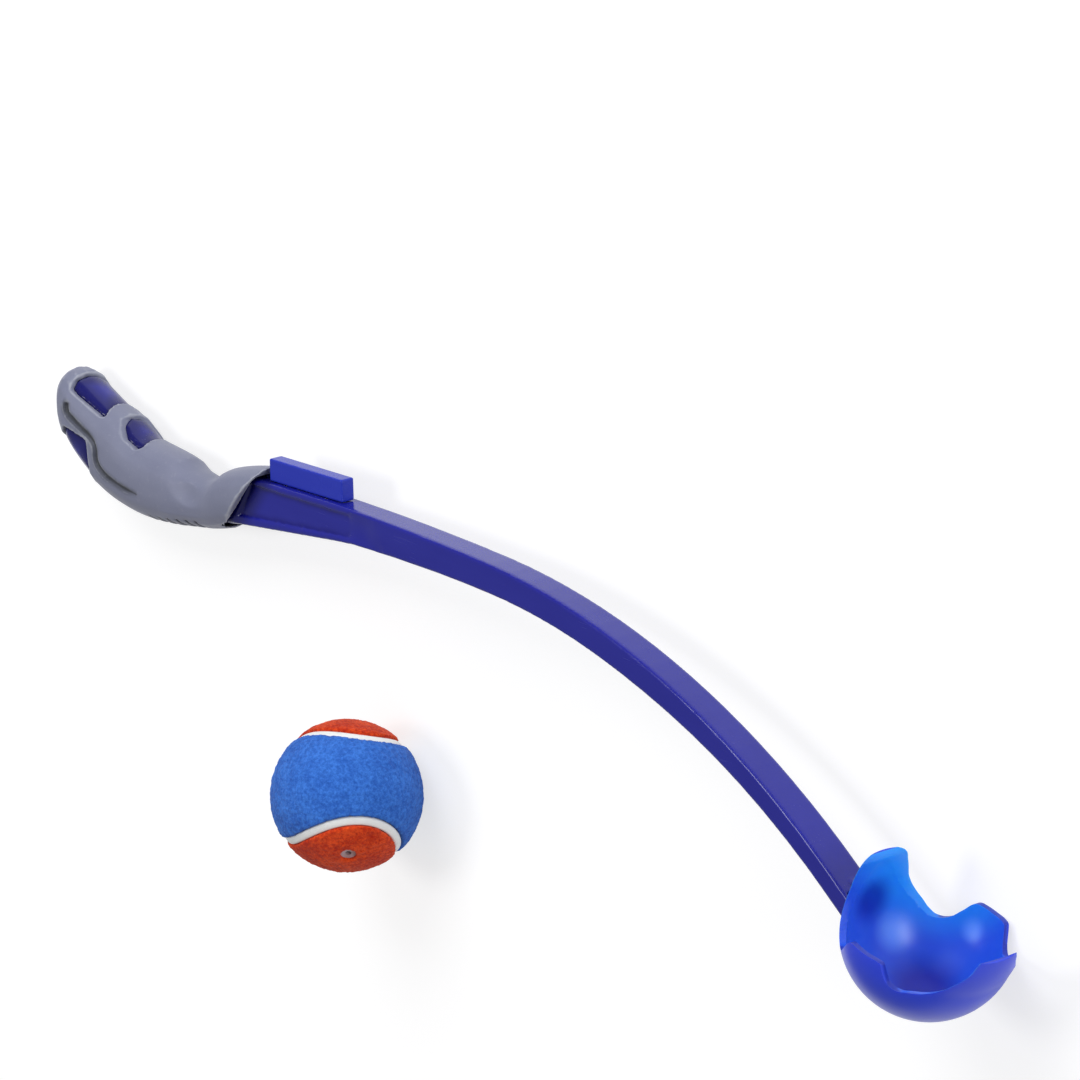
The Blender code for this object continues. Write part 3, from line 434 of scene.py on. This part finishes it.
# %% Ball finishes
FELT_BLUE = (0.016, 0.090, 0.430)
FELT_BLUE_PALE = (0.050, 0.205, 0.700)
FELT_ORANGE = (0.420, 0.014, 0.002)
FELT_ORANGE_PALE = (0.820, 0.085, 0.012)
SEAM_WHITE = (0.860, 0.870, 0.860)
RUBBER_GREY = (0.210, 0.210, 0.220)
SQUEAKER_PALE = (0.620, 0.580, 0.660)
SQUEAKER_BROWN = (0.300, 0.100, 0.050)
TUFT_SIZE = 1.6 * MM
FIBRE_SIZE = 0.55 * MM
FELT_PATCH_SIZE = 9 * MM
FELT_DEPTH = 0.45 * MM
FELT_BAND = (0.44, 0.68)
RUBBER_PATCH_SIZE = 5 * MM
RUBBER_GRAIN_SIZE = 0.5 * MM


def felt(name, deep, pale):
    """A mat of fibres, painted deeper in shade between its tufts and paler at their tips."""
    finish = Finish(name)
    tufts = finish.noise(TUFT_SIZE, detail=5.0, roughness=0.75)
    fibres = finish.node("ShaderNodeTexNoise", {
        "Vector": finish.place, "Scale": 1 / FIBRE_SIZE, "Detail": 3.0, "Distortion": 2.5})
    patches = finish.noise(FELT_PATCH_SIZE, detail=2.0)
    tips = finish.band(tufts * 0.6 + fibres * 0.3 + patches * 0.2, *FELT_BAND)
    finish.set(
        Base_Color=finish.mix(tips, deep, pale),
        Roughness=0.92,
        Normal=finish.bump(tufts * 0.6 + fibres * 0.4, FELT_DEPTH),
        Specular_IOR_Level=0.2,
        Sheen_Weight=0.08,
        Sheen_Roughness=0.5)
    return finish.material


def plain_rubber(name, deep, pale, roughness, depth):
    """Rubber or plastic that drifts between two shades, with a grain of its own depth."""
    finish = Finish(name)
    patches = finish.noise(RUBBER_PATCH_SIZE, detail=4.0, roughness=0.6)
    grain = finish.noise(RUBBER_GRAIN_SIZE, detail=2.0)
    finish.set(
        Base_Color=finish.mix(patches, deep, pale),
        Roughness=roughness + patches * 0.12,
        Normal=finish.bump(grain, depth))
    return finish.material


def dimmed(colour, share):
    """A share of a colour's strength."""
    return tuple(share * value for value in colour)


felt_blue_finish = felt("blue felt", FELT_BLUE, FELT_BLUE_PALE)
felt_orange_finish = felt("orange felt", FELT_ORANGE, FELT_ORANGE_PALE)
seam_finish = plain_rubber("seam rubber", dimmed(SEAM_WHITE, 0.85), SEAM_WHITE,
                           roughness=0.50, depth=0.06 * MM)
core_finish = plain_rubber("core rubber", dimmed(RUBBER_GREY, 0.8), RUBBER_GREY,
                           roughness=0.60, depth=0.05 * MM)
squeaker_finish = plain_rubber("squeaker plastic", SQUEAKER_BROWN, SQUEAKER_PALE,
                               roughness=0.35, depth=0.02 * MM)
print("finishes so far:", len(bpy.data.materials))

# %% [markdown]
# ## Working from a solid
# A imported solid comes as loose triangles. For a piece of our own, a copy is merged back into one
# skin, and then it can be remeshed, smoothed and displaced like any hand-made mesh. The copy takes
# the solid's place in the picture, while the solid stays behind for the motion tests, hidden.

# %% A copy of a solid
MERGE_WITHIN = 0.005 * MM
FLAT_WITHIN = radians(3)
QUAD_WITHIN = radians(60)


def only(chosen):
    """Selects one object and makes it the active one."""
    bpy.ops.object.select_all(action="DESELECT")
    chosen.select_set(True)
    bpy.context.view_layer.objects.active = chosen


def skin_of(node, name, body, finish):
    """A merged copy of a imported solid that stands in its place."""
    source = nodes[node]
    made = bpy.data.objects.new(name, source.data.copy())
    bpy.context.scene.collection.objects.link(made)
    made.data.materials.clear()
    made.data.materials.append(finish)
    only(made)
    bpy.ops.object.mode_set(mode="EDIT")
    bpy.ops.mesh.select_all(action="SELECT")
    bpy.ops.mesh.remove_doubles(threshold=MERGE_WITHIN)
    bpy.ops.mesh.tris_convert_to_quads(face_threshold=FLAT_WITHIN, shape_threshold=QUAD_WITHIN)
    bpy.ops.object.mode_set(mode="OBJECT")
    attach(made, body)
    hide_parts(node)
    return made


def apply(made, kind, **settings):
    """Adds a modifier and applies it."""
    only(made)
    step = made.modifiers.new(kind.lower(), kind)
    for name, value in settings.items():
        setattr(step, name, value)
    bpy.ops.object.modifier_apply(modifier=step.name)


def remesh(made, voxel, passes):
    """Lays an even skin of small faces over a piece and rounds its edges."""
    apply(made, "REMESH", mode="VOXEL", voxel_size=voxel, use_smooth_shade=True)
    apply(made, "SMOOTH", factor=0.5, iterations=passes)


# %% [markdown]
# A mesh can carry a value at each of its points, and a finish can read it. These helpers find out
# how far each point lies under the piece's own smoothed form. Ambient occlusion could darken such
# corners too, but it can't tell a groove from a wide hollow, and here each gets its own shade.

# %% Values at a piece's points
def points_of(mesh):
    """A mesh's places and normals as two arrays."""
    places, normals = (numpy.empty(len(mesh.vertices) * 3) for _ in range(2))
    mesh.vertices.foreach_get("co", places)
    mesh.vertices.foreach_get("normal", normals)
    return places.reshape(-1, 3), normals.reshape(-1, 3)


def blur(mesh, values, passes):
    """Averages each point's value with its neighbours' again and again."""
    ends = numpy.empty(len(mesh.edges) * 2, dtype=numpy.int32)
    mesh.edges.foreach_get("vertices", ends)
    here = numpy.concatenate((ends[0::2], ends[1::2]))
    there = numpy.concatenate((ends[1::2], ends[0::2]))
    share = numpy.bincount(here, minlength=len(values))
    for _ in range(passes):
        values = (values + numpy.bincount(here, values[there], len(values)) / share) / 2
    return values


def mark(made, name, values):
    """Stores a value at each point of a piece, for its finish to read."""
    if name not in made.data.attributes:
        made.data.attributes.new(name, "FLOAT", "POINT")
    made.data.attributes[name].data.foreach_set("value", values.astype(numpy.float32))


def mark_sunk(made, passes):
    """Marks how far each point lies under the piece's own smoothed form, in millimetres."""
    places, normals = points_of(made.data)
    soft = numpy.stack([blur(made.data, places[:, axis], passes) for axis in range(3)], axis=1)
    depth = ((soft - places) * normals).sum(axis=1) / MM
    mark(made, SUNK, depth)
    print(f"{made.name}: from {depth.min():.2f} to {depth.max():.2f} mm under its smoothed form")
    return depth


# %% [markdown]
# Smoothing everything alike would melt the edges before the flats are calm. A vertex group says
# how much of it each point gets.

# %% Softening and measuring
def soften(made, share_at, passes):
    """Smooths a mesh more where a test gives a greater share, from 0 to 1."""
    group = made.vertex_groups.new(name="soften")
    for point in made.data.vertices:
        share = share_at(point)
        if share > 0:
            group.add([point.index], min(share, 1.0), "REPLACE")
    apply(made, "SMOOTH", factor=0.5, iterations=passes, vertex_group=group.name)
    made.vertex_groups.clear()


def report(made):
    """Prints a piece's size."""
    size = [round(v / MM, 1) for v in made.dimensions]
    print(f"{made.name}: {len(made.data.polygons)} faces, {size} mm")


# %% [markdown]
# ## Arm and plate
# These are glossy mouldings with small soft edges. A voxel remesh lays an even skin of small
# faces over each copy, and a little smoothing rounds every edge, inside corners too. The same
# even skin shows where the surface is sunk or proud, and the finish shades it there. The arm's
# tang and the end of its side panel get many more passes, because there even a soft step shows.

# %% Arm and plate
ARM_VOXEL = 0.66 * MM
PLATE_VOXEL = 0.30 * MM
TANG_END = -60 * MM
PANEL_END = plate_place + forward_way * 48 * MM - Vector((0, 11.6, 0)) * MM
PANEL_END_BACK = 16.0 * MM
PANEL_END_FRONT = 8.0 * MM
PANEL_END_HEIGHT = 6.4 * MM
SHARE_FADE = 4 * MM
PANEL_SIDE_FADE = 1 * MM
EDGE_PASSES = 3
TANG_PASSES = 40
PANEL_END_PASSES = 350
ARM_FORM_PASSES = 40


def tang_share(point):
    """1 on the tang inside the grip, whose flats would show in its gloss."""
    return (TANG_END - (point.co - plate_place).dot(forward_way)) / SHARE_FADE


def panel_end_share(point):
    """1 at the front end of the side panel, which runs out without a step."""
    offset = point.co - PANEL_END
    forward = offset.dot(forward_way)
    within_length = min(PANEL_END_FRONT - forward, PANEL_END_BACK + forward) / SHARE_FADE
    within_height = (PANEL_END_HEIGHT - abs(offset.y)) / PANEL_SIDE_FADE
    return min(within_length, within_height)


for node, name, slot, finish, voxel in (
        ("arm", "arm_skin", "arm_blue", arm_finish, ARM_VOXEL),
        ("name_plate", "plate_skin", "plate_blue", plate_finish, PLATE_VOXEL)):
    moulding = skin_of(node, name, "thrower", finish)
    remesh(moulding, voxel, EDGE_PASSES)
    if node == "arm":
        soften(moulding, tang_share, TANG_PASSES)
        soften(moulding, panel_end_share, PANEL_END_PASSES)
    mark_sunk(moulding, ARM_FORM_PASSES)
    report(moulding)

# %% [markdown]
# ## The scoop, from a sphere
# The scoop is a thin bowl, and its gloss would show every flat of a plain solid. So it is modelled
# again from a fine sphere. Its upper half is stretched, its top is bisected away and Solidify
# gives it a wall inwards. Its four fingers come from one smooth outline seen from the side, run
# right through the bowl. The back and front fingers lean outwards, and each lean is given by its
# way, its distance, and two heights in shares of the radius: where it starts, and where a point
# on the bowl's widest circle has moved that far. A last bevel rounds the cut edge.

# %% Bowl
SPHERE_SEGMENTS = 144
SPHERE_RINGS = 72
SCOOP_WALL = 2.4 * MM
SCOOP_STRETCH = 1.32
FINGER_HEIGHT = 22.5 * MM
LEANS = ((-1, 2.2 * MM, -0.15, 0.18), (1, 3.0 * MM, 0.10, 0.60))


def select_where(made, test):
    """Selects the faces of a mesh whose middles pass a test, and stays in edit mode."""
    only(made)
    bpy.ops.object.mode_set(mode="EDIT")
    bpy.ops.mesh.select_mode(type="FACE")
    bpy.ops.mesh.select_all(action="DESELECT")
    work = bmesh.from_edit_mesh(made.data)
    for face in work.faces:
        if test(face.calc_center_median()):
            face.select_set(True)
    bmesh.update_edit_mesh(made.data)


bpy.ops.object.select_all(action="DESELECT")
bpy.ops.mesh.primitive_uv_sphere_add(segments=SPHERE_SEGMENTS, ring_count=SPHERE_RINGS,
                                     radius=SCOOP_RADIUS)
scoop = bpy.context.object
scoop.name = "scoop_bowl"
select_where(scoop, lambda middle: middle.z > 0)
bpy.ops.transform.resize(value=(1, 1, SCOOP_STRETCH), center_override=(0, 0, 0))
bpy.ops.mesh.select_all(action="SELECT")
bpy.ops.mesh.bisect(plane_co=(0, 0, FINGER_HEIGHT), plane_no=(0, 0, 1), clear_outer=True)
bpy.ops.object.mode_set(mode="OBJECT")
for way, lean, start, end in LEANS:
    for point in scoop.data.vertices:
        rise = max((point.co.z / SCOOP_RADIUS - start) / (end - start), 0.0)
        point.co.x += way * lean * rise * max(way * point.co.x / SCOOP_RADIUS, 0.0)
apply(scoop, "SOLIDIFY", thickness=SCOOP_WALL, offset=-1)
report(scoop)

# %% [markdown]
# The fingers' outline runs from the back finger's tip to the front one's, in shares of the bowl's
# radius, and closes well past the bowl. What it encloses is cut away. One outline is enough,
# because the two middle fingers mirror each other across the bowl.

# %% The fingers' outline
RIM_SHARES = (
    (-1.03, 0.19), (-0.995, 0.145), (-0.945, 0.00), (-0.895, -0.13), (-0.850, -0.235),
    (-0.76, -0.35), (-0.645, -0.435), (-0.545, -0.49),
    (-0.45, -0.505), (-0.345, -0.44), (-0.275, -0.27), (-0.225, -0.115), (-0.19, -0.075),
    (-0.12, -0.045),
    (0.03, 0.010), (0.20, 0.075), (0.245, 0.080), (0.285, 0.045), (0.34, -0.02), (0.42, -0.085),
    (0.52, -0.10), (0.62, -0.04), (0.74, 0.04), (0.82, 0.14), (0.89, 0.30), (0.925, 0.46),
    (0.915, 0.58), (0.905, 0.67),
)
PAST_BOWL = 1.3
RIM_STEPS = 5
RIM_MERGE_WITHIN = 0.01 * MM


def rim_cutter():
    """Everything above the scoop's rim, as one smooth outline seen from the side."""
    curve = bpy.data.curves.new("rim", "CURVE")
    curve.dimensions = "2D"
    curve.fill_mode = "BOTH"
    curve.extrude = PAST_BOWL * SCOOP_RADIUS
    line = curve.splines.new("BEZIER")
    line.use_cyclic_u = True
    line.resolution_u = RIM_STEPS
    places = [Vector(share) for share in RIM_SHARES]
    places += [Vector((places[-1].x, PAST_BOWL)), Vector((-PAST_BOWL, PAST_BOWL)),
               Vector((-PAST_BOWL, places[0].y))]
    line.bezier_points.add(len(places) - 1)
    for i, (point, place) in enumerate(zip(line.bezier_points, places)):
        point.co = (*(place * SCOOP_RADIUS), 0)
        kind = "AUTO" if 0 < i < len(RIM_SHARES) - 1 else "VECTOR"
        point.handle_left_type = kind
        point.handle_right_type = kind
    shape = bpy.data.objects.new("rim", curve)
    bpy.context.scene.collection.objects.link(shape)
    shape.rotation_euler = (pi / 2, 0, 0)
    only(shape)
    bpy.ops.object.convert(target="MESH")
    bpy.ops.object.mode_set(mode="EDIT")
    bpy.ops.mesh.select_all(action="SELECT")
    bpy.ops.mesh.remove_doubles(threshold=RIM_MERGE_WITHIN)
    bpy.ops.mesh.normals_make_consistent(inside=False)
    bpy.ops.object.mode_set(mode="OBJECT")
    return shape


cutter = rim_cutter()
print("the rim is cut by a shape of", len(cutter.data.polygons), "faces")

# %% [markdown]
# After the cut, each point is marked by whether it faces the bowl's middle, so that the finish can
# tell the inside from the outside. Then the bowl, made upright so far, is carried to its place.

# %% Cut the fingers
RIM_EDGE = 0.45 * MM
RIM_ANGLE = radians(50)
INSIDE_STEEPNESS = 1.5


def shade(made, degrees):
    """Shades round faces smooth and keeps the real edges."""
    only(made)
    bpy.ops.object.shade_smooth_by_angle(angle=radians(degrees))
    report(made)


apply(scoop, "BOOLEAN", object=cutter, operation="DIFFERENCE", solver="EXACT")
bpy.data.objects.remove(cutter, do_unlink=True)
apply(scoop, "BEVEL", width=RIM_EDGE, segments=3, limit_method="ANGLE", angle_limit=RIM_ANGLE)
places, normals = points_of(scoop.data)
facing_in = -(places * normals).sum(axis=1) / numpy.linalg.norm(places, axis=1)
mark(scoop, INSIDE, numpy.clip(0.5 + INSIDE_STEEPNESS * facing_in, 0, 1))
scoop.data.transform(scoop_place)
scoop.data.materials.append(scoop_finish)
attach(scoop, "thrower")
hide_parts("scoop")
shade(scoop, 40)

# %% [markdown]
# ## The grip, rounded all over
# Soft overmoulding has no sharp edge anywhere. A voxel remesh gives the copy an even skin of
# small faces, and a few passes of smoothing round every lip, groove and rib at once, which no
# bevel could do round so many crossing cuts. Where no edge is near, many more passes calm the skin.

# %% Grip
GRIP_VOXEL = 0.56 * MM
RIBS_START = -92 * MM
RIBS_TOP = -31 * MM
LIP_PASSES = 4
GRIP_FORM_PASSES = 14
SHARPNESS_PASSES = 12
CALM_FROM, CALM_FADE = 0.04, 0.06
CALM_PASSES = 80
grip = skin_of("grip", "grip_skin", "thrower", grip_finish)
remesh(grip, GRIP_VOXEL, LIP_PASSES)
sharpness = blur(grip.data, abs(mark_sunk(grip, GRIP_FORM_PASSES)), SHARPNESS_PASSES)


def near_ribs(point):
    """Whether a point is on the ribbed edge under the collar."""
    offset = point.co - plate_place
    return offset.dot(forward_way) > RIBS_START and offset.y < RIBS_TOP


def calm_share(point):
    """1 where the grip is smooth all round, and nothing near its edges, groove and ribs."""
    if near_ribs(point):
        return 0.0
    return 1 - (sharpness[point.index] - CALM_FROM) / CALM_FADE


soften(grip, calm_share, CALM_PASSES)
report(grip)

# %% [markdown]
# Now the grip's depths are marked for its finish, which paints shade by them. The ribs are too fine
# to look as dark as they should, so they are marked deeper than they are. Beside an edge the depth
# is also spread into a soft hollow of painted shade. Where the arm comes close to the grip's mouth
# it lies in shade, so it is marked too, for painted shade on the arm.

# %% Depths on the grip, and the arm beside it
EDGE_SHARPNESS = 0.06
HOLLOW_PASSES = 60
RIB_DEEPER = 3
CLOSE_REACH = 12 * MM


def mark_close(made, other, reach):
    """Stores at each point how close another piece is, from 0 out of reach to 1 touching."""
    shape = other.data
    tree = BVHTree.FromPolygons([point.co for point in shape.vertices],
                                [face.vertices for face in shape.polygons])
    closeness = []
    for point in made.data.vertices:
        distance = tree.find_nearest(point.co, reach)[3]
        closeness.append(0.0 if distance is None else 1.0 - distance / reach)
    mark(made, CLOSE, numpy.array(closeness))
    near = sum(value > 0 for value in closeness)
    print(f"{made.name}: {near} of {len(closeness)} points near {other.name}")


depth = mark_sunk(grip, GRIP_FORM_PASSES)
beside_edges = numpy.clip(depth, 0, None) * (sharpness > EDGE_SHARPNESS)
mark(grip, HOLLOW, blur(grip.data, beside_edges, HOLLOW_PASSES))
for point in grip.data.vertices:
    if near_ribs(point) and depth[point.index] > 0:
        depth[point.index] *= RIB_DEEPER
mark(grip, SUNK, depth)
mark_close(bpy.data.objects["arm_skin"], grip, CLOSE_REACH)

# %% [markdown]
# ## Felt panels
# The felt is raised in small lumps where its fibres mat together. The copy of each panel is
# remeshed finely and pushed in and out by two cloud patterns, one the size of a tuft and one
# broader. The finish adds the fibres themselves.

# %% Felt
FELT_VOXEL = 0.60 * MM
FELT_PASSES = 4


def cloud(name, size, depth):
    """A procedural pattern for a Displace modifier."""
    texture = bpy.data.textures.new(name, "CLOUDS")
    texture.noise_scale = size
    texture.noise_depth = depth
    return texture


tuft_cloud = cloud("tufts", size=1.1 * MM, depth=3)
broad_cloud = cloud("broad", size=5 * MM, depth=1)
for node, name, slot, finish in (
        ("felt_panel_blue", "blue_felt", "felt_blue", felt_blue_finish),
        ("felt_panel_orange", "orange_felt", "felt_orange", felt_orange_finish)):
    panel = skin_of(node, name, "ball", finish)
    remesh(panel, FELT_VOXEL, FELT_PASSES)
    apply(panel, "DISPLACE", texture=tuft_cloud, strength=0.8 * MM, mid_level=0.25)
    apply(panel, "DISPLACE", texture=broad_cloud, strength=0.4 * MM, mid_level=0.4)
    report(panel)

# %% [markdown]
# ## Seam, cores and squeaker
# The real seam is a soft bead of glue. Its solid has no crossing cuts, so a subdivision surface is
# enough to round it and no remesh is needed. The core halves and the squeaker are inside the ball,
# where only the squeaker's dot is seen, so they stay the plain solids that they are.

# %% Seam, cores and squeaker
seam = skin_of("ball_seam", "seam_band", "ball", seam_finish)
apply(seam, "SUBSURF", levels=2, render_levels=2)
shade(seam, 60)
for node, finish in (("ball_core_near", core_finish), ("ball_core_far", core_finish),
                     ("squeaker_tube", squeaker_finish), ("squeaker_reed", squeaker_finish)):
    nodes[node].data.materials.clear()
    nodes[node].data.materials.append(finish)
    print(f"{node}: {finish.name}")

# %% [markdown]
# ## Floor and light
# A plain pale floor and three soft lamps. The largest lamp shines along the floor from the convex
# side, so in the picture it lights the thrower from above, as in the photograph. It is left out of
# reflections, and the two smaller lamps stand where the scoop mirrors them as in the photograph.
# The floor keeps a soft shadow, and seen by the camera it is lifted to white.

# %% Floor
FLOOR_SIZE = 14.0
FLOOR_PALE = (0.84, 0.84, 0.85)
FLOOR_SEEN = (0.42, 0.42, 0.425)
FLOOR_LIFT = (0.66, 0.66, 0.66)
FLOOR_LIFT_MIRRORED = 0.5
BLACK = (0.0, 0.0, 0.0)
bpy.ops.object.select_all(action="DESELECT")
bpy.ops.mesh.primitive_plane_add(size=FLOOR_SIZE)
floor = bpy.context.object
floor.name = "floor"
floor_finish = Finish("pale floor")
seen = floor_finish.node("ShaderNodeLightPath", output="Is Camera Ray")
mirrored = floor_finish.node("ShaderNodeLightPath", output="Is Glossy Ray")
through = floor_finish.node("ShaderNodeLightPath", output="Is Transmission Ray")
lifted = seen + (mirrored + through) * FLOOR_LIFT_MIRRORED
floor_finish.set(
    Base_Color=floor_finish.mix(seen, FLOOR_PALE, FLOOR_SEEN),
    Roughness=0.9,
    Emission_Color=floor_finish.mix(lifted, BLACK, FLOOR_LIFT),
    Emission_Strength=1.0)
floor.data.materials.append(floor_finish.material)
print("floor:", FLOOR_SIZE, "m square")

# %% World and lamps
WORLD_STRENGTH = 0.33
world = bpy.data.worlds.new("studio")
bpy.context.scene.world = world
world.use_nodes = True
background = world.node_tree.nodes["Background"]
background.inputs["Color"].default_value = (1.0, 1.0, 1.0, 1.0)
background.inputs["Strength"].default_value = WORLD_STRENGTH


def lamp(name, azimuth, elevation, distance, width, height, watts):
    """A soft lamp with a flat front that shines on the thrower's middle."""
    way = way_at(radians(azimuth), radians(elevation))
    bpy.ops.object.light_add(type="AREA", location=aim + way * distance)
    made = bpy.context.object
    made.name = name
    made.data.shape = "RECTANGLE"
    made.data.size = width
    made.data.size_y = height
    made.data.energy = watts
    made.rotation_euler = way.to_track_quat("Z", "Y").to_euler()
    print(f"{name}: {watts} W at {distance} m")
    return made


main_lamp = lamp("lamp along the convex side", 185, 32, 2.2, 1.6, 1.6, 34)
main_lamp.visible_glossy = False
lamp("lamp overhead", 246, 67, 2.2, 0.7, 0.7, 14)
lamp("low lamp by the camera", 104, 8, 2.6, 1.3, 0.5, 24)
